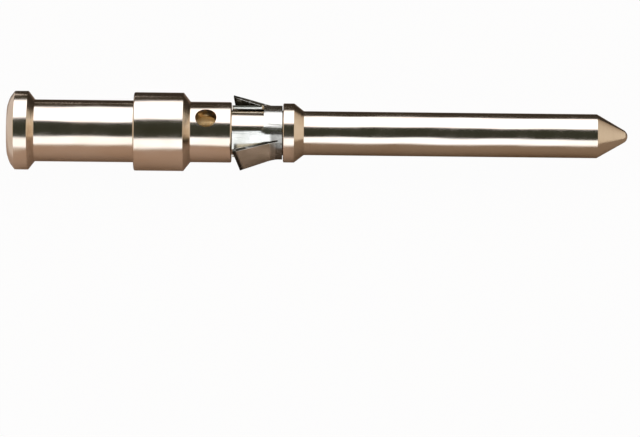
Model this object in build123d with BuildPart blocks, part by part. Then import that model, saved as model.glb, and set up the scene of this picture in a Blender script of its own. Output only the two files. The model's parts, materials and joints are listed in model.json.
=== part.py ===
"""Crimp contact pin: a turned contact body and the spring clip that latches it in a connector.

Frame: millimetres. The origin is on the axis at the wire end and +X runs to the tip of the
pin. +Z is up for the contact as it lies, rolled against one tine of its clip. Angles round
the axis start at the -Y side and turn up towards +Z.
"""
from build123d import *
from math import cos, radians, sin, tan
import os

# Contact body, along the axis from the wire end to the tip
crown_depth = 0.27
crown_bulge = 0.05
rim_dia = 1.84
flange_dia = 2.86
flange_band = 0.49
barrel_dia = 2.25
barrel_length = 3.602
collar_dia = 2.85
collar_band = 1.80
sight_barrel_dia = 2.20
sight_barrel_length = 1.491
groove_dia = 1.62
groove_length = 1.875
front_collar_dia = 2.15
front_collar_band = 0.40
pin_dia = 1.60
pin_length = 10.65
tip_half_angle = 30.0
taper_angle = 52.0
front_taper_angle = 38.0
edge_round = 0.05
nose_radius = 0.266

# Wire bore and the hole through which the wire is seen
wire_bore_dia = 1.30
bell_mouth = 0.07
bore_past_hole = 0.10
drill_half_angle = 59.0
sight_hole_dia = 0.72
sight_hole_from_taper = 0.571
sight_hole_angle = 84.5

# Retention clip, rolled from spring strip
sheet = 0.14
grip_clearance = 0.02
end_play = 0.03
clip_turn = 97.5
ring_width = 0.16
window_half_angle = 36.7
window_bridge = 0.67
window_corner = 0.10
finger_root_angle = 54.0
finger_end_angle = 66.0
tine_near_angle = 58.0
tine_far_angle = 150.0
back_edge_angle = 154.0
tine_end_reach = 1.255
tine_end_width = 1.60
tine_end_lean = 15.0
tine_end_skew = 10.0
tine_setback = 0.03
seam_gap = 0.08


def taper_run(large_dia, small_dia, angle=taper_angle):
    """Axial length of the taper between two diameters."""
    return (large_dia - small_dia) / 2 / tan(radians(angle))


# Stations along X, each from the one before
flange_x = crown_depth
flange_taper_x = flange_x + flange_band
barrel_x = flange_taper_x + taper_run(flange_dia, barrel_dia)
collar_x = barrel_x + barrel_length
collar_taper_x = collar_x + collar_band
sight_barrel_x = collar_taper_x + taper_run(collar_dia, sight_barrel_dia)
groove_x = sight_barrel_x + sight_barrel_length
front_collar_x = groove_x + groove_length
front_taper_x = front_collar_x + front_collar_band
pin_x = front_taper_x + taper_run(front_collar_dia, pin_dia, front_taper_angle)
tip_x = pin_x + pin_length
apex_x = tip_x + taper_run(pin_dia, 0, tip_half_angle)
nose_centre_x = apex_x - nose_radius / sin(radians(tip_half_angle))
sight_hole_x = sight_barrel_x + sight_hole_from_taper
bore_end_x = sight_hole_x + sight_hole_dia / 2 + bore_past_hole

# Outer edges that are broken with a small radius
square_edges = [
    (flange_x, flange_dia),
    (collar_x, collar_dia),
    (groove_x, sight_barrel_dia),
    (front_collar_x, front_collar_dia),
]

# The clip fills the groove, less its end play
clip_front_x = front_collar_x - end_play
clip_rear_x = groove_x + end_play
clip_length = clip_front_x - clip_rear_x
tine_root_x = clip_front_x - ring_width
window_end_x = clip_front_x - window_bridge
clip_inner = groove_dia / 2 + grip_clearance
clip_outer = clip_inner + sheet
cut_inner = clip_inner - sheet
cut_outer = clip_outer + sheet


def cross_section(x):
    """Plane across the axis at x: its X axis points to the -Y side, its Y axis up."""
    return Plane(origin=(x, 0, 0), x_dir=(0, -1, 0), z_dir=(-1, 0, 0))


def radial(angle):
    """Unit vector from the axis outwards at an angle round it."""
    return Vector(0, -cos(radians(angle)), sin(radians(angle)))


def annular_sector(inner, outer, start, stop):
    """Sketch between two arcs round the axis, from one angle to the other."""
    with BuildSketch() as sector:
        with BuildLine():
            inside = CenterArc((0, 0), inner, start, stop - start)
            outside = CenterArc((0, 0), outer, start, stop - start)
            Line(inside @ 0, outside @ 0)
            Line(inside @ 1, outside @ 1)
        make_face()
    return sector.sketch


# Contact body: one turned piece, its bore drilled from the wire end
with BuildPart() as contact_body:
    with BuildSketch(Plane.XY) as outline:
        rim = (0, rim_dia / 2)
        flange_edge = (flange_x, flange_dia / 2)
        with BuildLine():
            SagittaArc(rim, flange_edge, crown_bulge)
            turned = Polyline(
                flange_edge,
                (flange_taper_x, flange_dia / 2),
                (barrel_x, barrel_dia / 2),
                (collar_x, barrel_dia / 2),
                (collar_x, collar_dia / 2),
                (collar_taper_x, collar_dia / 2),
                (sight_barrel_x, sight_barrel_dia / 2),
                (groove_x, sight_barrel_dia / 2),
                (groove_x, groove_dia / 2),
                (front_collar_x, groove_dia / 2),
                (front_collar_x, front_collar_dia / 2),
                (front_taper_x, front_collar_dia / 2),
                (pin_x, pin_dia / 2),
                (tip_x, pin_dia / 2),
            )
            nose = CenterArc((nose_centre_x, 0), nose_radius, 0, 90 - tip_half_angle)
            Line(turned @ 1, nose @ 1)
            Polyline(nose @ 0, (0, 0), rim)
        make_face()
        broken_edges = [
            vertex
            for vertex in outline.vertices()
            if min(abs(vertex.X - x) + abs(vertex.Y - dia / 2) for x, dia in square_edges) < edge_round
        ]
        fillet(broken_edges, radius=edge_round)
    revolve(axis=Axis.X)

    with BuildSketch(Plane.XY):
        with BuildLine():
            drill_run = wire_bore_dia / 2 / tan(radians(drill_half_angle))
            Polyline(
                (0, 0),
                (0, wire_bore_dia / 2 + bell_mouth),
                (bell_mouth, wire_bore_dia / 2),
                (bore_end_x, wire_bore_dia / 2),
                (bore_end_x + drill_run, 0),
                close=True,
            )
        make_face()
    revolve(axis=Axis.X, mode=Mode.SUBTRACT)

    hole_plane = Plane(origin=(sight_hole_x, 0, 0), x_dir=(1, 0, 0), z_dir=radial(sight_hole_angle))
    with BuildSketch(hole_plane):
        Circle(sight_hole_dia / 2)
    extrude(amount=sight_barrel_dia, mode=Mode.SUBTRACT)


def make_tine(side):
    """One flared tine: rolled like the sleeve at its root, flat at its free end, with a skewed cut."""
    middle = clip_turn + side * (tine_near_angle + tine_far_angle) / 2
    half = (tine_far_angle - tine_near_angle) / 2
    facing = radial(middle)
    away = radial(middle + side * 90)
    near_corner = facing * tine_end_reach - away * (tine_end_width / 2)
    cut_point = Vector(clip_rear_x + tine_setback, 0, 0) + near_corner
    cut_normal = Vector(1, 0, 0) - facing * tan(radians(tine_end_lean)) - away * tan(radians(tine_end_skew))
    with BuildPart() as tine:
        with BuildSketch(cross_section(tine_root_x)):
            add(annular_sector(clip_inner, clip_outer, middle - half, middle + half))
        with BuildSketch(cross_section(clip_rear_x)):
            with Locations(Rotation(0, 0, middle) * Location((tine_end_reach - sheet / 2, 0))):
                Rectangle(sheet, tine_end_width)
        loft()
        split(bisect_by=Plane(origin=cut_point, z_dir=cut_normal), keep=Keep.TOP)
    return tine.part


upper_tine = make_tine(1)
lower_tine = make_tine(-1)

# Retention clip: a slotted sleeve in the groove, its two tines flared towards the wire end
with BuildPart() as retention_clip:
    with BuildSketch(cross_section(clip_front_x)):
        Circle(clip_outer)
        Circle(clip_inner, mode=Mode.SUBTRACT)
    extrude(amount=clip_length)

    # Window over the groove, open at the wire end
    window_sides = (clip_turn - window_half_angle, clip_turn + window_half_angle)
    with BuildSketch(cross_section(window_end_x)):
        add(annular_sector(cut_inner, cut_outer, *window_sides))
    extrude(amount=clip_length, mode=Mode.SUBTRACT)
    window_corners = edges().filter_by(GeomType.LINE).filter_by_position(
        Axis.X, window_end_x - sheet / 2, window_end_x + sheet / 2
    )
    fillet(window_corners.sort_by(Edge.length)[:2], radius=window_corner)

    # Clearings for the tines: a slit at the root, and a finger beside each that widens to its free end
    for side in (1, -1):
        back_edge = clip_turn + side * back_edge_angle
        for x, finger_edge_angle in ((tine_root_x, finger_root_angle), (clip_rear_x, finger_end_angle)):
            clearing = sorted((clip_turn + side * finger_edge_angle, back_edge))
            with BuildSketch(cross_section(x)):
                add(annular_sector(cut_inner, cut_outer, *clearing))
        loft(mode=Mode.SUBTRACT)

    # Seam where the rolled strip meets, on the side away from the window
    with BuildSketch(cross_section(clip_front_x)):
        with Locations(Rotation(0, 0, clip_turn + 180) * Location((clip_inner + sheet / 2, 0))):
            Rectangle(4 * sheet, seam_gap)
    extrude(amount=clip_length, mode=Mode.SUBTRACT)

    add(upper_tine)
    add(lower_tine)

contact_body.part.label = "contact_body"
retention_clip.part.label = "retention_clip"

os.makedirs("parts", exist_ok=True)
export_step(contact_body.part, "parts/contact_body.step")
export_step(retention_clip.part, "parts/retention_clip.step")
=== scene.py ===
# %% [markdown]
# # A crimp contact pin and its retention clip
# A turned contact is a small lathe part: every surface of it except one cross hole is a line spun
# round one axis. Its clip is the other classic of small metalwork, a flat blank that is stamped out of
# spring strip and then rolled. Both shapes follow a rule, so both are made by Geometry Nodes here.
# The packed model gives the frame: +X runs to the tip and +Z is up. Blender works in metres. Sizes are
# written in millimetres, and MM turns them into metres where Blender gets them.

# %% Load the frame
import json
from math import cos, degrees, hypot, radians, sin, tan

import bmesh
import bpy
from mathutils import Matrix, Vector

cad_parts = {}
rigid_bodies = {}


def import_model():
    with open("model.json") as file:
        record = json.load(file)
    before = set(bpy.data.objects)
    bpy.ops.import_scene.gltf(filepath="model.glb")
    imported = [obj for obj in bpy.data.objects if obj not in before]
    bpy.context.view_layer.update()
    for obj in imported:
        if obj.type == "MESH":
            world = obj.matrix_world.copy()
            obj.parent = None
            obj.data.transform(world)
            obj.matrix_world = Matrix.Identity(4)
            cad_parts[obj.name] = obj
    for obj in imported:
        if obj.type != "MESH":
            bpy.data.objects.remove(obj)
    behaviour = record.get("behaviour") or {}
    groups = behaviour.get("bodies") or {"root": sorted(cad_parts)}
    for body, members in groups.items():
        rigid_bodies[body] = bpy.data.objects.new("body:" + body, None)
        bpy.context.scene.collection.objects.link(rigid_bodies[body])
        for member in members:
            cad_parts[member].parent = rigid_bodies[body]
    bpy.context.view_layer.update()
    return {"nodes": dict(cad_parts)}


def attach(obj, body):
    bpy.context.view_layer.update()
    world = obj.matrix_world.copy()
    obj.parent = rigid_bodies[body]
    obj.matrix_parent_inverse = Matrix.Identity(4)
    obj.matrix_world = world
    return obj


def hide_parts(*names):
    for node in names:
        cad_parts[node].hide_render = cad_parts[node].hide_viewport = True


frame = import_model()
MM = 0.001
print("frame nodes:", sorted(frame["nodes"]))

# %% [markdown]
# A node tree is easier to read as arithmetic than as a list of links. The small class below wraps one
# output socket, so that `0.5 - mask * 2` adds the Math nodes it needs. Every other node comes from
# `Graph.add`, which takes the node's type, its settings and the values or links of its sockets.

# %% Arithmetic on sockets
class Wire:
    """One output socket. Arithmetic on it adds Math nodes."""

    def __init__(self, graph, node, socket):
        self.graph, self.node, self.socket = graph, node, socket

    def _math(self, operation, a, b=0.0):
        return self.graph.add("ShaderNodeMath", {"operation": operation}, {0: a, 1: b})

    def __add__(self, other):
        return self._math("ADD", self, other)

    def __sub__(self, other):
        return self._math("SUBTRACT", self, other)

    def __rsub__(self, other):
        return self._math("SUBTRACT", other, self)

    def __mul__(self, other):
        return self._math("MULTIPLY", self, other)

    def __truediv__(self, other):
        return self._math("DIVIDE", self, other)

    def __rtruediv__(self, other):
        return self._math("DIVIDE", other, self)

    def __pow__(self, other):
        return self._math("POWER", self, other)

    def __gt__(self, other):
        return self._math("GREATER_THAN", self, other)

    def __lt__(self, other):
        return self._math("LESS_THAN", self, other)

    def __neg__(self):
        return self._math("MULTIPLY", self, -1.0)

    def __abs__(self):
        return self._math("ABSOLUTE", self)

    def do(self, operation, other=0.0):
        """Any other Math operation, such as SINE or MINIMUM."""
        return self._math(operation, self, other)

    __radd__, __rmul__ = __add__, __mul__

    def out(self, name):
        """Another output of the same node."""
        return Wire(self.graph, self.node, self.node.outputs[name])


class Graph:
    """A node tree that is written as expressions."""

    def __init__(self, tree):
        self.tree = tree

    def add(self, kind, settings=None, values=None, out=0):
        """Adds a node. A value that is a Wire is linked to its socket, and any other is set on it."""
        node = self.tree.nodes.new(kind)
        for name, value in (settings or {}).items():
            setattr(node, name, value)
        for key, value in (values or {}).items():
            if isinstance(value, Wire):
                self.tree.links.new(value.socket, node.inputs[key])
            else:
                node.inputs[key].default_value = value
        return Wire(self, node, node.outputs[out] if node.outputs else None)

    def feed(self, node, name, wire):
        """Links a wire to a named input of a node that is already there."""
        self.tree.links.new(wire.socket, node.inputs[name])

    def step(self, value, low, high, from_=0.0, to=1.0):
        """Goes smoothly from one level to another while value goes from low to high."""
        return self.add(
            "ShaderNodeMapRange",
            {"interpolation_type": "SMOOTHSTEP"},
            {"Value": value, "From Min": low, "From Max": high, "To Min": from_, "To Max": to},
        )

    def fall(self, value, low, high):
        """1 below low and 0 above high, with a smooth fall in between."""
        return self.step(value, low, high, 1.0, 0.0)


print("operations on a wire:", sum(name.startswith("__") for name in vars(Wire)))

# %% [markdown]
# A Geometry Nodes tree is run once and its result is kept as a plain mesh. The sizes stay named inputs of
# the tree, so it can be used again for another contact. A modifier's input is set by its identifier.

# %% A new Geometry Nodes tree with named inputs
def new_object(name, data):
    """An object at the origin, in the scene's own collection."""
    made = bpy.data.objects.new(name, data)
    bpy.context.scene.collection.objects.link(made)
    return made


def new_modifier_tree(name, inputs):
    """A tree with a geometry input and output and named float inputs: its graph, source and sink."""
    tree = bpy.data.node_groups.new(name, "GeometryNodeTree")
    tree.interface.new_socket("Geometry", in_out="INPUT", socket_type="NodeSocketGeometry")
    for label in inputs:
        tree.interface.new_socket(label, in_out="INPUT", socket_type="NodeSocketFloat")
    tree.interface.new_socket("Geometry", in_out="OUTPUT", socket_type="NodeSocketGeometry")
    graph = Graph(tree)
    source = graph.add("NodeGroupInput")
    sink = tree.nodes.new("NodeGroupOutput")
    return graph, source, sink


def run_tree(piece, tree, sizes, name):
    """Puts the tree on the piece with its sizes, and returns the result as a plain mesh object."""
    modifier = piece.modifiers.new(name, "NODES")
    modifier.node_group = tree
    sockets = {s.name: s.identifier for s in tree.interface.items_tree if s.in_out == "INPUT"}
    for label, value in sizes.items():
        modifier[sockets[label]] = value
    evaluated = piece.evaluated_get(bpy.context.evaluated_depsgraph_get())
    mesh = bpy.data.meshes.new_from_object(evaluated)
    mesh.name = name
    bpy.data.objects.remove(piece)
    return new_object(name, mesh)


# %% [markdown]
# ## The finishes
# The body is taken to be a copper alloy, turned on an automatic lathe and plated in a pale champagne tone.
# It is nearly a mirror. Very fine rings, a slight waviness along its length, and small differences in tone and
# gloss tell it from a perfect one. Such rings are what turning usually leaves. At about one pixel of the
# picture they can't be proved from it. Inside the bore and the sight hole a warmer tone is used, as if the
# plating were thin there. That is a guess.

# %% Helpers for the finishes
def new_material(name):
    """A metal: the material, its graph and its shader node."""
    material = bpy.data.materials.new(name)
    material.use_nodes = True
    material.node_tree.nodes.clear()
    graph = Graph(material.node_tree)
    surface = graph.add("ShaderNodeBsdfPrincipled", values={"Metallic": 1.0})
    graph.add("ShaderNodeOutputMaterial", values={"Surface": surface})
    return material, graph, surface.node


def place_mm(graph):
    """The piece's own coordinates, in millimetres, whole and as x, y and z."""
    here = graph.add("ShaderNodeTexCoord", out="Object")
    scaled = graph.add("ShaderNodeVectorMath", {"operation": "SCALE"}, {0: here, "Scale": 1 / MM})
    split = graph.add("ShaderNodeSeparateXYZ", values={0: scaled})
    return scaled, split.out("X"), split.out("Y"), split.out("Z")


def noise(graph, place, scale, stretch=(1.0, 1.0, 1.0), detail=3.0, roughness=0.5):
    """Noise that is finer along one direction than another."""
    drawn = graph.add("ShaderNodeVectorMath", {"operation": "MULTIPLY"}, {0: place, 1: stretch})
    return graph.add(
        "ShaderNodeTexNoise",
        values={"Vector": drawn, "Scale": scale, "Detail": detail, "Roughness": roughness},
    )


def mix_colour(graph, factor, a, b):
    """Colour a where the factor is 0 and colour b where it is 1. The Mix node's sockets 6 and 7 are these."""
    return graph.add("ShaderNodeMix", {"data_type": "RGBA"}, {0: factor, 6: a, 7: b}, out=2)


def relief(graph, shader, height):
    """Feeds a height in millimetres to the shader as a bump."""
    bump = graph.add("ShaderNodeBump", values={"Strength": 1.0, "Distance": MM, "Height": height})
    graph.feed(shader, "Normal", bump)


# %% Plated contact finish
PLATING = (0.86, 0.745, 0.61, 1.0)
PLATING_WARM = (0.80, 0.655, 0.50, 1.0)
BORE_ALLOY = (1.0, 0.83, 0.57, 1.0)
# Where the alloy is bare, in millimetres: from the axis outwards, or along X, where its edge is soft
BORE_WALL, BORE_BOTTOM = (0.66, 0.76), (8.15, 8.25)
HOLE_REAR, HOLE_FRONT, HOLE_RIM = (6.80, 6.84), (7.60, 7.64), (1.02, 1.07)
BODY_ROUGH, PATCH_ROUGH, RING_ROUGH, BARE_ROUGH = 0.13, 0.06, 0.03, 0.12
RING_HEIGHT, WAVE_HEIGHT = 0.0035, 0.070

plated, graph, shader = new_material("plated_contact")
place, x, y, z = place_mm(graph)
from_axis = (y * y + z * z) ** 0.5
in_bore = graph.fall(from_axis, *BORE_WALL) * graph.fall(x, *BORE_BOTTOM)
in_hole = graph.step(x, *HOLE_REAR) * graph.fall(x, *HOLE_FRONT) * graph.fall(from_axis, *HOLE_RIM)
bare = in_bore.do("MAXIMUM", in_hole)
tone = noise(graph, place, 0.9, stretch=(0.35, 1.0, 1.0), detail=4.0)
colour = mix_colour(graph, graph.step(tone, 0.42, 0.72), PLATING, PLATING_WARM)
graph.feed(shader, "Base Color", mix_colour(graph, bare, colour, BORE_ALLOY))
gloss = noise(graph, place, 2.2, stretch=(0.6, 1.0, 1.0), detail=3.0)
rings = noise(graph, place, 30.0, stretch=(1.0, 0.02, 0.02), detail=2.0, roughness=0.6)
rough = BODY_ROUGH + graph.step(gloss, 0.35, 0.75) * PATCH_ROUGH + rings * RING_ROUGH + bare * BARE_ROUGH
graph.feed(shader, "Roughness", rough)
wave = noise(graph, place, 0.55, stretch=(0.6, 1.0, 1.0), detail=1.0)
relief(graph, shader, rings * RING_HEIGHT + wave * WAVE_HEIGHT)
print("plated contact nodes:", len(plated.node_tree.nodes))

# %% [markdown]
# The clip is taken to be spring steel strip. Strip is rolled, so its grain runs one way, and here it is greyer
# than the body and nearly as glossy. Parts of it are painted dark: the cut edges of the tines, the bend at
# their root, the rim of the free end and a strip on the ring, and the inner face of the tine at the back is painted
# nearly black. This is painted shade and painted dark reflection, set by where these places are on the piece. The
# better way would be a studio that gives such shade and reflections. This one doesn't. The painted shade is a
# stand-in made for this one view, and it stays on the part in any other light. The tine in front has no dark
# inner face here, although the two tines are probably alike.

# %% Spring steel finish
STEEL = (0.79, 0.76, 0.67, 1.0)
STEEL_DARK = (0.67, 0.65, 0.55, 1.0)
# Colour of the painted shade on the tines and on a strip of the ring
PAINTED_SHADE = (0.035, 0.030, 0.020, 1.0)
# Depth in the sheet, 0 at its inner face and 1 at its outer face
INNER_FACE, CUT_INSIDE, CUT_OUTSIDE = (0.0, 0.03), (0.02, 0.12), (0.90, 1.0)
# Millimetres: from the free end of a tine, along X, and along Y towards the back
END_RIM, TINE_ROOT, RING_STRIP, BACK_TINE = (0.09, 0.18), (9.70, 9.77), (9.50, 9.64), (-0.2, 0.4)
# Degrees from the window's middle
ROOT_FROM, STRIP_FROM, STRIP_TO = (60.0, 66.0), (38.0, 44.0), (152.0, 156.0)
ROOT_SHARE, STRIP_SHARE = 0.8, 0.55
STEEL_ROUGH, CLOUD_ROUGH, GRAIN_ROUGH, DARK_ROUGH = 0.17, 0.07, 0.04, 0.2
GRAIN_HEIGHT = 0.006

steel, graph, shader = new_material("spring_steel")
place, x, y, z = place_mm(graph)
grain = noise(graph, place, 9.0, stretch=(0.12, 1.0, 1.0), detail=4.0, roughness=0.6)
cloud = noise(graph, place, 1.6)
depth, tine, from_end, aside = (
    graph.add("ShaderNodeAttribute", {"attribute_name": name}, out="Fac")
    for name in ("depth", "tine", "from_end", "aside")
)
# Painted shade: these masks darken the cut edges, the root bend, the free end's rim, a strip on the ring and the
# back tine's inner face
cut_edge_shade = graph.step(depth, *CUT_INSIDE) * graph.fall(depth, *CUT_OUTSIDE)
end_rim_shade = graph.fall(from_end, *END_RIM)
root_bend_shade = graph.step(x, *TINE_ROOT) * graph.step(aside, *ROOT_FROM) * ROOT_SHARE
inner_face_shade = graph.fall(depth, *INNER_FACE) * graph.step(y, *BACK_TINE)
shade_on_tines = cut_edge_shade.do("MAXIMUM", end_rim_shade).do("MAXIMUM", root_bend_shade).do("MAXIMUM", inner_face_shade) * tine
strip = graph.step(x, *RING_STRIP) * graph.step(aside, *STRIP_FROM) * graph.fall(aside, *STRIP_TO) * STRIP_SHARE
painted_shade = shade_on_tines.do("MAXIMUM", strip) * graph.step(noise(graph, place, 7.0), 0.25, 0.5, 0.75, 1.0)
colour = mix_colour(graph, graph.step(cloud * 0.6 + grain * 0.4, 0.38, 0.66), STEEL, STEEL_DARK)
graph.feed(shader, "Base Color", mix_colour(graph, painted_shade, colour, PAINTED_SHADE))
rough = STEEL_ROUGH + graph.step(cloud, 0.3, 0.75) * CLOUD_ROUGH + grain * GRAIN_ROUGH + painted_shade * DARK_ROUGH
graph.feed(shader, "Roughness", rough)
relief(graph, shader, grain * GRAIN_HEIGHT)
print("spring steel nodes:", len(steel.node_tree.nodes))

# %% [markdown]
# ## The contact body
# A lathe works from a profile. The same sizes as in the solid model give the profile as a list of
# points (distance along the axis, radius) that goes round the whole section: up the rim, along the outside to
# the tip, and back inside the bore. Straight runs get a few points, and every arc gets enough to look round.
# All corners that the tool leaves sharp have a tiny radius, because a real edge always catches light.

# %% Sizes of the turned profile, in millimetres and degrees
CROWN_X, CROWN_BULGE, RIM_R = 0.27, 0.05, 0.92
CROWN_NORMAL = (-0.86, 0.50)
FLANGE_R, FLANGE_END = 1.43, 0.76
BARREL_R, BARREL_X = 1.125, 0.998
COLLAR_R, COLLAR_X, COLLAR_END = 1.425, 4.60, 6.40
SIGHT_R, SIGHT_X = 1.10, 6.654
GROOVE_R, GROOVE_X, GROOVE_END = 0.81, 8.145, 10.02
FRONT_R, FRONT_END = 1.075, 10.42
PIN_R, PIN_X, PIN_END = 0.80, 10.772, 21.422
CONE_ANGLE, NOSE_R, NOSE_STEPS = 30.0, 0.266, 14
BORE_R, BORE_END, BELL, DRILL_ANGLE = 0.65, 7.685, 0.07, 59.0
HOLE_R, HOLE_X, HOLE_ANGLE = 0.36, 7.225, 84.5
apex_x = PIN_END + PIN_R / tan(radians(CONE_ANGLE))
nose_x = apex_x - NOSE_R / sin(radians(CONE_ANGLE))
drill_run = BORE_R / tan(radians(DRILL_ANGLE))
crown_middle = (CROWN_X / 2 + CROWN_BULGE * CROWN_NORMAL[0], (RIM_R + FLANGE_R) / 2 + CROWN_BULGE * CROWN_NORMAL[1])
print("length in mm:", round(nose_x + NOSE_R, 3))


# %% The profile, with its corners rounded
MOST_OF_RUN = 0.45


def arc_points(centre, radius, start, stop, count):
    """Points on an arc of the section, angles in degrees."""
    turn = [radians(start + (stop - start) * i / count) for i in range(count + 1)]
    return [(centre[0] + radius * cos(t), centre[1] + radius * sin(t)) for t in turn]


def rounded(corner, before, after, radius, count=5):
    """Points of a curve that takes the place of a corner between two straight runs."""
    corner, before, after = Vector(corner), Vector(before), Vector(after)
    back, on = (before - corner).normalized(), (after - corner).normalized()
    half = back.angle(on) / 2
    reach = min(
        radius / tan(half), (before - corner).length * MOST_OF_RUN, (after - corner).length * MOST_OF_RUN
    )
    start, stop = corner + back * reach, corner + on * reach
    points = []
    for i in range(count + 1):
        t = i / count
        points.append(tuple(start * (1 - t) ** 2 + corner * 2 * t * (1 - t) + stop * t**2))
    return points


nose = arc_points((nose_x, 0.0), NOSE_R, 90 - CONE_ANGLE, 0, NOSE_STEPS)
# Each corner as (x, radius), and how far it is rounded
corners = [
    ((BELL, BORE_R), 0.03),
    ((0.0, BORE_R + BELL), 0.015),
    ((0.0, RIM_R), 0.05),
    (crown_middle, 0.6),
    ((CROWN_X, FLANGE_R), 0.06),
    ((FLANGE_END, FLANGE_R), 0.03),
    ((BARREL_X, BARREL_R), 0.04),
    ((COLLAR_X, BARREL_R), 0.03),
    ((COLLAR_X, COLLAR_R), 0.06),
    ((COLLAR_END, COLLAR_R), 0.03),
    ((SIGHT_X, SIGHT_R), 0.04),
    ((GROOVE_X, SIGHT_R), 0.06),
    ((GROOVE_X, GROOVE_R), 0.03),
    ((GROOVE_END, GROOVE_R), 0.03),
    ((GROOVE_END, FRONT_R), 0.05),
    ((FRONT_END, FRONT_R), 0.03),
    ((PIN_X, PIN_R), 0.06),
    ((PIN_END, PIN_R), 0.05),
]
profile = [(BORE_END + drill_run, 0.0), (BORE_END, BORE_R)]
for i, (corner, rounding) in enumerate(corners):
    before = corners[i - 1][0] if i else (BORE_END, BORE_R)
    after = corners[i + 1][0] if i + 1 < len(corners) else nose[0]
    profile += rounded(corner, before, after, rounding)
profile += nose[:-1] + [(nose_x + NOSE_R, 0.0)]
print("profile points:", len(profile))


# %% Long runs of the profile get points in between
LONGEST_RUN = 0.45


def with_steps(points, longest):
    """Adds points so that no run is longer than a given length."""
    stepped = [points[0]]
    for a, b in zip(points, points[1:]):
        pieces = max(1, int(hypot(b[0] - a[0], b[1] - a[1]) / longest) + 1)
        for k in range(1, pieces + 1):
            stepped.append((a[0] + (b[0] - a[0]) * k / pieces, a[1] + (b[1] - a[1]) * k / pieces))
    return stepped


profile = with_steps(profile, LONGEST_RUN)
section = bpy.data.meshes.new("profile")
section.from_pydata([(px * MM, 0.0, pr * MM) for px, pr in profile], [], [])
profile_line = new_object("profile", section)
print("profile rows:", len(profile))

# %% [markdown]
# The lathe itself is a Geometry Nodes tree. It starts from a flat grid with one row for each profile
# point and one column for each step of the turn. Each grid point then looks up its row's profile point and
# goes to that radius, at its column's angle. Merging by distance closes the seam and the two poles.

# %% The lathe as a node tree
AROUND = 240
SAME_POINT = 1e-7

graph, source, sink = new_modifier_tree("lathe", ["Rows", "Columns"])
rows, columns = source.out("Rows"), source.out("Columns")
grid_size = {"Size X": 1.0, "Size Y": 1.0, "Vertices X": rows, "Vertices Y": columns + 1.0}
blank = graph.add("GeometryNodeMeshGrid", values=grid_size)
index = graph.add("GeometryNodeInputIndex")
row = (index / (columns + 1.0)).do("FLOOR")
column = index - row * (columns + 1.0)
looked_up = graph.add(
    "GeometryNodeSampleIndex",
    {"data_type": "FLOAT_VECTOR", "domain": "POINT"},
    {"Geometry": source.out("Geometry"), "Value": graph.add("GeometryNodeInputPosition"), "Index": row},
)
point = graph.add("ShaderNodeSeparateXYZ", values={0: looked_up})
angle = column / columns * radians(360.0)
radius = point.out("Z")
spun = graph.add(
    "ShaderNodeCombineXYZ",
    values={"X": point.out("X"), "Y": -(radius * angle.do("COSINE")), "Z": radius * angle.do("SINE")},
)
turned = graph.add("GeometryNodeSetPosition", values={"Geometry": blank, "Position": spun})
merged = graph.add("GeometryNodeMergeByDistance", values={"Geometry": turned, "Distance": SAME_POINT})
real = graph.add("GeometryNodeRealizeInstances", values={"Geometry": merged})
finished = graph.add("GeometryNodeSetMaterial", values={"Geometry": real, "Material": plated})
graph.feed(sink, "Geometry", finished)
lathe_sizes = {"Rows": float(len(profile)), "Columns": float(AROUND)}
contact_body = run_tree(profile_line, graph.tree, lathe_sizes, "contact_body_turned")
print("turned body faces:", len(contact_body.data.polygons))


# %% [markdown]
# The sight hole is drilled through one wall of the barrel, so that the wire can be seen in the bore. A
# Boolean with a round cutter is the drill. The cutter flares where it leaves the wall, which breaks the rim.

# %% The drill for the sight hole
BIT_SIDES = 64
BIT_INNER, BIT_FLARE, BIT_OUTER, RIM_BREAK = 0.2, 1.03, 1.15, 0.05


def radial(angle_deg):
    """Unit vector from the axis at an angle that starts at the -Y side and turns up."""
    return Vector((0.0, -cos(radians(angle_deg)), sin(radians(angle_deg))))


def drill_bit():
    """The closed round cutter, as an object."""
    outwards, along = radial(HOLE_ANGLE), Vector((1.0, 0.0, 0.0))
    upright = outwards.cross(along)
    turn = [radians(360 * k / BIT_SIDES) for k in range(BIT_SIDES)]
    bit = bmesh.new()
    loops = []
    for distance, size in ((BIT_INNER, HOLE_R), (BIT_FLARE, HOLE_R), (BIT_OUTER, HOLE_R + RIM_BREAK)):
        centre = Vector((HOLE_X, 0.0, 0.0)) + outwards * distance
        loops.append([bit.verts.new((centre + (along * cos(t) + upright * sin(t)) * size) * MM) for t in turn])
    for low, high in zip(loops, loops[1:]):
        for k in range(BIT_SIDES):
            after = (k + 1) % BIT_SIDES
            bit.faces.new((low[k], low[after], high[after], high[k]))
    bit.faces.new(reversed(loops[0]))
    bit.faces.new(loops[-1])
    bmesh.ops.recalc_face_normals(bit, faces=bit.faces)
    mesh = bpy.data.meshes.new("drill_bit")
    bit.to_mesh(mesh)
    bit.free()
    return new_object("drill_bit", mesh)


drill = drill_bit()
print("drill faces:", len(drill.data.polygons))


# %% Drill the sight hole
DOUBLES = 1e-8


def outward(mesh):
    """Makes a closed mesh's faces point outwards."""
    work = bmesh.new()
    work.from_mesh(mesh)
    bmesh.ops.remove_doubles(work, verts=work.verts, dist=DOUBLES)
    bmesh.ops.recalc_face_normals(work, faces=work.faces)
    work.to_mesh(mesh)
    work.free()


outward(contact_body.data)
drilling = contact_body.modifiers.new("sight_hole", "BOOLEAN")
drilling.operation, drilling.solver, drilling.object = "DIFFERENCE", "EXACT", drill
drilled = bpy.data.meshes.new_from_object(contact_body.evaluated_get(bpy.context.evaluated_depsgraph_get()))
contact_body.modifiers.remove(drilling)
contact_body.data = drilled
bpy.data.objects.remove(drill)
print("faces after drilling:", len(contact_body.data.polygons))


# %% Smooth shading, with the true corners kept sharp
BODY_SHARP, CLIP_SHARP = 32.0, 40.0


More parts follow.
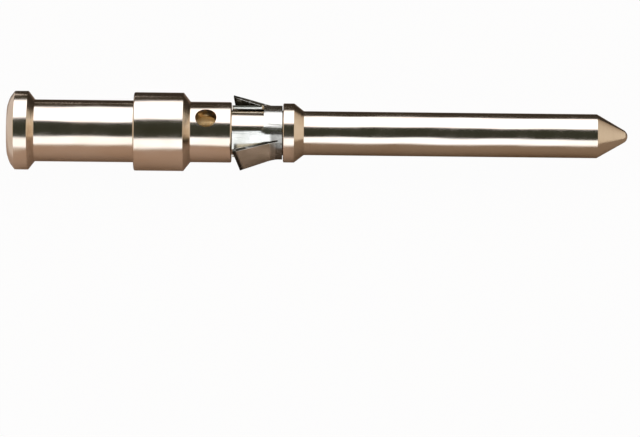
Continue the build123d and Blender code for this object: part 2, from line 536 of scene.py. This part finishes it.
def dress(piece, sharp_angle, material):
    """Smooth faces, except across edges that turn by more than an angle, and one finish all over."""
    mesh = piece.data
    mesh.polygons.foreach_set("use_smooth", [True] * len(mesh.polygons))
    work = bmesh.new()
    work.from_mesh(mesh)
    limit = radians(sharp_angle)
    for edge in work.edges:
        edge.smooth = len(edge.link_faces) != 2 or edge.calc_face_angle(0.0) < limit
    work.to_mesh(mesh)
    work.free()
    mesh.update()
    mesh.materials.clear()
    mesh.materials.append(material)


dress(contact_body, BODY_SHARP, plated)
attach(contact_body, "root")
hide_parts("contact_body")
print("sharp edges of the body:", sum(edge.use_edge_sharp for edge in contact_body.data.edges))

# %% [markdown]
# ## The retention clip
# The clip begins as a flat blank. In the blank's plane X is the distance along the contact and Y is the
# arc length round it. It is built from panels that share their edge points: the ring band, the bridge in
# front of the window, two fingers, two tines and the spine on both sides of the seam. All cuts are straight
# at first. Then the slit beside each tine is slanted, so that the fingers widen and the tines narrow towards
# the wire end. Solidify gives the strip its thickness and a bevel breaks its sheared edges.

# %% Sizes of the clip, in millimetres and degrees from the window's middle
SHEET, CLIP_IN = 0.14, 0.83
CLIP_REAR, CLIP_FRONT = 8.175, 9.99
ROOT_X, WINDOW_X = 9.83, 9.32
CLIP_TURN, WINDOW_EDGE, FINGER_EDGE = 97.5, 36.7, 58.0
TINE_NEAR, TINE_FAR, BACK_EDGE, SLIT_SLANT = 61.5, 146.5, 154.0, 21.0
FINGER_FACET, RING_FACET, FACET_REACH, FOLD = (30.0, 80.0), (46.0, 77.0), 0.82, 24.0
END_REACH, END_WIDTH, END_LEAN, END_SKEW, SETBACK = 1.255, 1.60, 15.0, 10.0, 0.03
SEAM, WINDOW_CORNER, CORNER_STEPS = 0.08, 0.10, 10
PER_DEGREE = radians(1.0) * CLIP_IN
seam_edge = 180.0 - degrees(SEAM / 2 / CLIP_IN)
corner_turn = degrees(WINDOW_CORNER / CLIP_IN)
tine_middle, tine_run = (TINE_NEAR + TINE_FAR) / 2, ROOT_X - CLIP_REAR
print("length of the clip in mm:", round(CLIP_FRONT - CLIP_REAR, 3))


# %% Where a tine ends
ROUNDS = 20


def tine_end(beta):
    """X at which the skewed end of a tine cuts its line at an angle from the window's middle."""
    outer, turn = CLIP_IN + SHEET, radians(abs(beta) - tine_middle)
    across = (abs(beta) - TINE_NEAR) / (TINE_FAR - TINE_NEAR) - 0.5
    end_x = CLIP_REAR + SETBACK
    # how far out the tine is depends on where it ends, so the two are brought together in rounds
    for _ in range(ROUNDS):
        flatness = (ROOT_X - end_x) / tine_run
        reach = outer * cos(turn) * (1 - flatness) + END_REACH * flatness
        away = outer * sin(turn) * (1 - flatness) + END_WIDTH * across * flatness
        end_x = CLIP_REAR + SETBACK + tan(radians(END_LEAN)) * (reach - END_REACH)
        end_x += tan(radians(END_SKEW)) * (away + END_WIDTH / 2)
    return end_x


print("tine ends in mm:", [round(tine_end(b), 3) for b in (TINE_NEAR, tine_middle, TINE_FAR)])


# %% Lines across the blank, and a panel between two of them
TURN_STEP, PANEL_STEP, RING_STEP, NEARLY = 2.4, 0.09, 0.055, 1e-6


def steps(start, stop, size):
    """Evenly spaced values from start to stop, both included."""
    count = max(1, round(abs(stop - start) / size))
    return [start + (stop - start) * k / count for k in range(count + 1)]


window_stops = [0.0, WINDOW_EDGE - corner_turn, WINDOW_EDGE]
turn_stops = window_stops + [FINGER_EDGE, TINE_NEAR, TINE_FAR, BACK_EDGE, seam_edge]
turn_lines = [0.0]
for a, b in zip(turn_stops, turn_stops[1:]):
    turn_lines += steps(a, b, TURN_STEP)[1:]
turn_lines = [-t for t in reversed(turn_lines[1:])] + turn_lines
blank_mesh = bmesh.new()


def panel(low, high, near_x, far_x, size=PANEL_STEP):
    """One panel of the blank between two angles. It goes from near_x, on the wire end's side, to far_x."""
    start_at = near_x if callable(near_x) else lambda t: near_x
    count = max(1, round((far_x - start_at(low)) / size))
    grid = []
    for t in (t for t in turn_lines if low - NEARLY <= t <= high + NEARLY):
        start = start_at(t)
        column_x = [start + (far_x - start) * k / count for k in range(count + 1)]
        grid.append([blank_mesh.verts.new((cx * MM, t * PER_DEGREE * MM, 0.0)) for cx in column_x])
    for left, right in zip(grid, grid[1:]):
        for k in range(count):
            blank_mesh.faces.new((left[k], right[k], right[k + 1], left[k + 1]))


def window_corner(side):
    """The rounded inner corner of the window, between its arc and the two straight cuts."""
    centre_x, centre_y = WINDOW_X - WINDOW_CORNER, side * (WINDOW_EDGE - corner_turn) * PER_DEGREE
    outline = []
    for k in range(CORNER_STEPS + 1):
        t = radians(90 * k / CORNER_STEPS)
        outline.append((centre_x + WINDOW_CORNER * sin(t), centre_y + side * WINDOW_CORNER * cos(t)))
    first, last = abs(centre_y) - NEARLY, WINDOW_EDGE * PER_DEGREE + NEARLY
    crossed = [t for t in turn_lines if first < t * PER_DEGREE < last]
    outline += [(WINDOW_X, side * t * PER_DEGREE) for t in crossed[1:]]
    blank_mesh.faces.new([blank_mesh.verts.new((px * MM, py * MM, 0.0)) for px, py in outline])


print("lines across the blank:", len(turn_lines))

# %% Put the blank together
finger_stop = WINDOW_X - WINDOW_CORNER
side_panels = [
    (WINDOW_EDGE, FINGER_EDGE, finger_stop, WINDOW_X),
    (WINDOW_EDGE, FINGER_EDGE, CLIP_REAR, finger_stop),
    (TINE_NEAR, TINE_FAR, tine_end, ROOT_X),
    (BACK_EDGE, seam_edge, CLIP_REAR, ROOT_X),
]
panel(-seam_edge, seam_edge, ROOT_X, CLIP_FRONT, RING_STEP)
panel(-FINGER_EDGE, FINGER_EDGE, WINDOW_X, ROOT_X)
for side in (1, -1):
    for a, b, near_x, far_x in side_panels:
        panel(*sorted((side * a, side * b)), near_x, far_x)
    window_corner(side)
JOINED = 2e-6
bmesh.ops.remove_doubles(blank_mesh, verts=blank_mesh.verts, dist=JOINED)
print("points of the blank:", len(blank_mesh.verts))


# %% Slant the slits beside the tines
EDGE_SLACK = 1.0


def slit_slant(at_x, turn):
    """Degrees by which a point moves away from the window: the slit's two edges move most."""
    slant = SLIT_SLANT * max(0.0, ROOT_X - at_x) / tine_run
    if WINDOW_EDGE < turn < FINGER_EDGE + EDGE_SLACK:
        return slant * ((turn - WINDOW_EDGE) / (FINGER_EDGE - WINDOW_EDGE))
    if TINE_NEAR - EDGE_SLACK < turn < TINE_FAR:
        return slant * ((TINE_FAR - turn) / (TINE_FAR - TINE_NEAR))
    return 0.0


for v in blank_mesh.verts:
    slant = slit_slant(v.co.x / MM, abs(v.co.y) / MM / PER_DEGREE)
    v.co.y += (1 if v.co.y > 0 else -1) * slant * PER_DEGREE * MM
bmesh.ops.recalc_face_normals(blank_mesh, faces=blank_mesh.faces)
if sum(f.normal.z for f in blank_mesh.faces) < 0:
    bmesh.ops.reverse_faces(blank_mesh, faces=blank_mesh.faces)
blank_data = bpy.data.meshes.new("clip_blank")
blank_mesh.to_mesh(blank_data)
blank_mesh.free()
clip_blank = new_object("clip_blank", blank_data)
print("blank panels:", len(blank_data.polygons), "faces")

# %% Thickness and broken edges
EDGE_BREAK, BREAK_ABOVE = 0.022, 50.0

thickness = clip_blank.modifiers.new("strip", "SOLIDIFY")
thickness.thickness, thickness.offset = SHEET * MM, 1.0
edges_broken = clip_blank.modifiers.new("sheared_edges", "BEVEL")
edges_broken.width, edges_broken.segments, edges_broken.limit_method = EDGE_BREAK * MM, 2, "ANGLE"
edges_broken.angle_limit = radians(BREAK_ABOVE)
print("steps on the blank:", [m.name for m in clip_blank.modifiers])

# %% [markdown]
# Rolling is one rule for the whole blank: arc length becomes an angle and height above the blank becomes
# radius. The tines follow a second rule on top of it. From their root to their free end they go over from the
# rolled shape to a flat one that stands farther out, so each position is a mix of an arc and a flat panel. The
# light on the sleeve in the picture fits one that isn't quite round, so beside the window it gets a flat on
# each side, from which the fingers are cut. The tree also stores how deep a point lies in the sheet, whether it
# is on a tine, how far it is from the tine's end and its angle from the window's middle, for the finish.

# %% Sizes for the rolling
BEND, SLACK = 0.06, 1.5
FREE_STEP, ROOT_FADE = (-0.1, 0.2), 0.15

clip_sizes = {
    "Inner radius": CLIP_IN * MM,
    "Sheet": SHEET * MM,
    "Turn": radians(CLIP_TURN),
    "Root": ROOT_X * MM,
    "Run": tine_run * MM,
    "Tine near": radians(TINE_NEAR),
    "Tine far": radians(TINE_FAR),
    "Slant": radians(SLIT_SLANT),
    "End reach": (END_REACH - SHEET) * MM,
    "End width": END_WIDTH * MM,
    "Near end": tine_end(TINE_NEAR) * MM,
    "Far end": tine_end(TINE_FAR) * MM,
    "Bend": BEND * MM,
    "Slack": radians(SLACK),
    "Window": WINDOW_X * MM,
    "Finger facet start": radians(FINGER_FACET[0]),
    "Finger facet end": radians(FINGER_FACET[1]),
    "Ring facet start": radians(RING_FACET[0]),
    "Ring facet end": radians(RING_FACET[1]),
    "Facet reach": FACET_REACH * MM,
    "Fold": radians(FOLD),
}
graph, source, sink = new_modifier_tree("roll_and_flare", list(clip_sizes))
here = graph.add("ShaderNodeSeparateXYZ", values={0: graph.add("GeometryNodeInputPosition")})
px, py, pz = here.out("X"), here.out("Y"), here.out("Z")
print("inputs of the rolling:", len(clip_sizes))

# %% Where a point lies: on a tine or not, and how far along and across it
inner_radius, near, far = source.out("Inner radius"), source.out("Tine near"), source.out("Tine far")
slack, bend = source.out("Slack"), source.out("Bend")
beta = py / inner_radius
side = beta.do("SIGN")
behind = (source.out("Root") - px).do("MAXIMUM", 0.0)
slant = behind / source.out("Run") * source.out("Slant")
on_tine = (abs(beta) > near + slant - slack) * (abs(beta) < far + slack)
eased = behind - (1.0 - (-(behind / bend)).do("EXPONENT")) * bend
flatness = eased / (source.out("Run") - bend) * on_tine
share = (abs(beta) - near - slant) / (far - near - slant)
local = side * (near + share * (far - near)) * on_tine + beta * (1.0 - on_tine)
from_end = (px - source.out("Near end") - (source.out("Far end") - source.out("Near end")) * share) / MM
print("nodes that place a point:", len(graph.tree.nodes))

# %% The flats beside the window, and their place behind the window's end
free = graph.step(source.out("Window") - px, FREE_STEP[0] * MM, FREE_STEP[1] * MM)


def facet(edge):
    """The start or end of the flat: the ring's, going over to the fingers' where these are free."""
    return source.out(f"Ring facet {edge}") * (1.0 - free) + source.out(f"Finger facet {edge}") * free


facet_start = facet("start")
facet_half = (facet("end") - facet_start) * 0.5
off_middle = abs(local) - facet_start - facet_half
on_facet = off_middle.do("MAXIMUM", -facet_half).do("MINIMUM", facet_half)
fold = graph.fall(abs(off_middle) - facet_half, 0.0, source.out("Fold"))
lift = (source.out("Facet reach") / on_facet.do("COSINE") - inner_radius) * fold
lift = lift * (1.0 - on_tine * graph.step(behind, 0.0, ROOT_FADE * MM))
print("nodes with the flats:", len(graph.tree.nodes))

# %% The rolled and flared position
radius = inner_radius + pz + lift
angle = local + source.out("Turn")
middle = (near + far) * 0.5 * side + source.out("Turn")
rise = (angle - middle).do("COSINE") - ((far - near) * 0.5).do("COSINE")
bulge = radius * rise * flatness * (1.0 - flatness)
panel_out = (source.out("End reach") + pz) * flatness - bulge
across = (share - 0.5) * source.out("End width") * side
front = radius * angle.do("COSINE") * (1.0 - flatness) - across * middle.do("SINE") * flatness
front = front + panel_out * middle.do("COSINE")
height = radius * angle.do("SINE") * (1.0 - flatness) + across * middle.do("COSINE") * flatness
height = height + panel_out * middle.do("SINE")
rolled = graph.add("ShaderNodeCombineXYZ", values={"X": px, "Y": -front, "Z": height})
print("nodes with the flare:", len(graph.tree.nodes))

# %% Keep what the finish reads, and roll the clip
stored = source.out("Geometry")
kept = {"depth": pz / source.out("Sheet"), "tine": on_tine, "from_end": from_end}
kept["aside"] = abs(local) * degrees(1.0)
for name, value in kept.items():
    stored = graph.add(
        "GeometryNodeStoreNamedAttribute",
        {"data_type": "FLOAT", "domain": "POINT"},
        {"Geometry": stored, "Name": name, "Value": value},
    )
shaped = graph.add("GeometryNodeSetPosition", values={"Geometry": stored, "Position": rolled})
real = graph.add("GeometryNodeRealizeInstances", values={"Geometry": shaped})
finished = graph.add("GeometryNodeSetMaterial", values={"Geometry": real, "Material": steel})
graph.feed(sink, "Geometry", finished)
retention_clip = run_tree(clip_blank, graph.tree, clip_sizes, "retention_clip_rolled")
outward(retention_clip.data)
dress(retention_clip, CLIP_SHARP, steel)
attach(retention_clip, "root")
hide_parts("retention_clip")
print("clip faces:", len(retention_clip.data.polygons))

# %% [markdown]
# ## The studio
# A polished metal part looks like what stands round it. The world gives the studio as smooth bands of an
# angle that turns round the X axis, so they show as straight bands along the contact: a broad white light
# above and behind, the dark room round the camera, a low white light in front, and a dark strip low at the
# back. To the camera itself the world is white. The better way adds Is Glossy Ray and Is Transmission Ray,
# so that metal shows that white too. They are left out here, because the dark and tan bands of the picture
# would go with them. So the bands belong to this studio, and not to the contact.

# %% World
CAMERA_UP = 56.5
WHITE = (1.0, 1.0, 1.0, 1.0)
ROOM, ROOM_ENDS, ROOM_STEP = (0.36, 0.28, 0.21, 1.0), (0.73, 0.64, 0.53, 1.0), (0.50, 0.97)
# Each band: how far it reaches sideways and how softly it ends there, the angles at which it starts and
# ends (0 in front, 90 above, 180 behind) and how softly, and its colour. A later band covers an earlier one.
BANDS = [
    (0.50, 0.15, 148.0, 200.0, 2.5, 2.5, (0.045, 0.038, 0.026, 1.0)),
    (0.50, 0.20, 36.5, 91.0, 3.0, 2.5, (0.034, 0.038, 0.027, 1.0)),
    (0.50, 0.15, 91.0, 155.5, 2.5, 5.0, (1.7, 1.75, 1.95, 1.0)),
    (0.55, 0.15, 3.5, 36.5, 6.0, 3.0, (1.45, 1.55, 1.75, 1.0)),
]

world = bpy.data.worlds.new("studio")
bpy.context.scene.world = world
world.use_nodes = True
world.node_tree.nodes.clear()
graph = Graph(world.node_tree)
axes = graph.add("ShaderNodeSeparateXYZ", values={0: graph.add("ShaderNodeTexCoord", out="Generated")})
sideways = abs(axes.out("X"))
around_x = axes.out("Z").do("ARCTAN2", -axes.out("Y")) * degrees(1.0)
light = mix_colour(graph, graph.step(sideways, *ROOM_STEP), ROOM, ROOM_ENDS)
for reach, reach_soft, low, high, low_soft, high_soft, colour in BANDS:
    within = graph.fall(sideways, reach - reach_soft, reach + reach_soft)
    started = graph.step(around_x, low - low_soft, low + low_soft)
    not_over = graph.fall(around_x, high - high_soft, high + high_soft)
    light = mix_colour(graph, within * (started * not_over), light, colour)
seen = graph.add("ShaderNodeLightPath", out="Is Camera Ray")
around = graph.add("ShaderNodeBackground", values={"Color": light, "Strength": 1.0})
white = graph.add("ShaderNodeBackground", values={"Color": WHITE, "Strength": 1.0})
both = graph.add("ShaderNodeMixShader", values={0: seen, 1: around, 2: white})
graph.add("ShaderNodeOutputWorld", values={"Surface": both})
print("bands in the world:", len(BANDS))

# %% [markdown]
# The floor is white to the camera. As 0.97 of that is plain emission, hardly any of the contact's shadow is
# left on it. What the metal mirrors in it is a tan card with three patches: a darker one beside the pin, which
# is painted shade for the floor's shadow there, a nearly black one behind the contact, and a pale one at the wire
# end. They were placed for this picture, and they stay with the floor and not with the contact.

# %% Floor
CARD = (0.53, 0.395, 0.31, 1.0)
# Each patch: the floor's axis, from where to where it begins in millimetres, the levels there, its colour
PATCHES = [
    # Painted shade on the floor beside the pin
    ("X", 9.6, 11.4, 0.0, 1.0, (0.33, 0.25, 0.18, 1.0)),
    ("Y", 1.2, 5.0, 0.0, 1.0, (0.05, 0.04, 0.03, 1.0)),
    ("X", -2.6, -0.8, 1.0, 0.0, (0.86, 0.78, 0.71, 1.0)),
]
WHITE_SHARE, FLOOR_GAP, FLOOR_SPAN = 0.97, 0.02, 1.0

table = bpy.data.materials.new("table")
table.use_nodes = True
table.node_tree.nodes.clear()
graph = Graph(table.node_tree)
seen = graph.add("ShaderNodeLightPath", out="Is Camera Ray")
spot = graph.add("ShaderNodeSeparateXYZ", values={0: graph.add("ShaderNodeTexCoord", out="Object")})
card = CARD
for axis, low, high, from_, to, colour in PATCHES:
    patch = graph.step(spot.out(axis), low * MM, high * MM, from_, to) * (1.0 - seen)
    card = mix_colour(graph, patch, card, colour)
matt = graph.add("ShaderNodeBsdfDiffuse", values={"Color": card})
glow = graph.add("ShaderNodeEmission", values={"Color": WHITE, "Strength": 1.0})
top = graph.add("ShaderNodeMixShader", values={0: seen * WHITE_SHARE, 1: matt, 2: glow})
graph.add("ShaderNodeOutputMaterial", values={"Surface": top})
lowest = min(v.co.z for piece in (contact_body, retention_clip) for v in piece.data.vertices)
floor_mesh = bpy.data.meshes.new("floor")
square = [(-FLOOR_SPAN, -FLOOR_SPAN, 0), (FLOOR_SPAN, -FLOOR_SPAN, 0)]
square += [(FLOOR_SPAN, FLOOR_SPAN, 0), (-FLOOR_SPAN, FLOOR_SPAN, 0)]
floor_mesh.from_pydata(square, [], [(0, 1, 2, 3)])
floor_mesh.transform(Matrix.Translation((0.0, 0.0, lowest - FLOOR_GAP * MM)))
floor_mesh.materials.append(table)
floor = new_object("floor", floor_mesh)
print("height of the floor in mm:", round(lowest / MM - FLOOR_GAP, 3))

# %% [markdown]
# ## The camera
# The picture is a plain side view through a long lens, looking down on the contact as it lies. The whole
# part fills the picture's width and lies in its upper half, turned by a little more than half a degree.

# %% Camera
IMAGE_WIDTH, IMAGE_HEIGHT = 640, 437
PIXEL = 0.0363636 * MM
WIRE_END_AT = (7.6, 130.0)
ROLL = radians(0.61)
LENS, SENSOR = 250.0, 36.0
CLIP_START, CLIP_END = 0.001, 10.0

camera_data = bpy.data.cameras.new("camera")
camera_data.lens, camera_data.sensor_width = LENS, SENSOR
camera_data.clip_start, camera_data.clip_end = CLIP_START, CLIP_END
camera = new_object("camera", camera_data)
tilt = radians(CAMERA_UP)
along = Vector((1.0, 0.0, 0.0))
back = Vector((0.0, -cos(tilt), sin(tilt)))
level_up = Vector((0.0, sin(tilt), cos(tilt)))
right = along * cos(ROLL) + level_up * sin(ROLL)
upright = level_up * cos(ROLL) - along * sin(ROLL)
distance = IMAGE_WIDTH * PIXEL * LENS / SENSOR
centre = right * ((IMAGE_WIDTH / 2 - WIRE_END_AT[0]) * PIXEL)
centre = centre - upright * ((IMAGE_HEIGHT / 2 - WIRE_END_AT[1]) * PIXEL)
facing = Matrix((right, upright, back)).transposed().to_4x4()
camera.matrix_world = Matrix.Translation(centre + back * distance) @ facing
bpy.context.scene.camera = camera
bpy.context.scene.view_settings.view_transform = "Standard"
print("camera distance in mm:", round(distance / MM, 1))
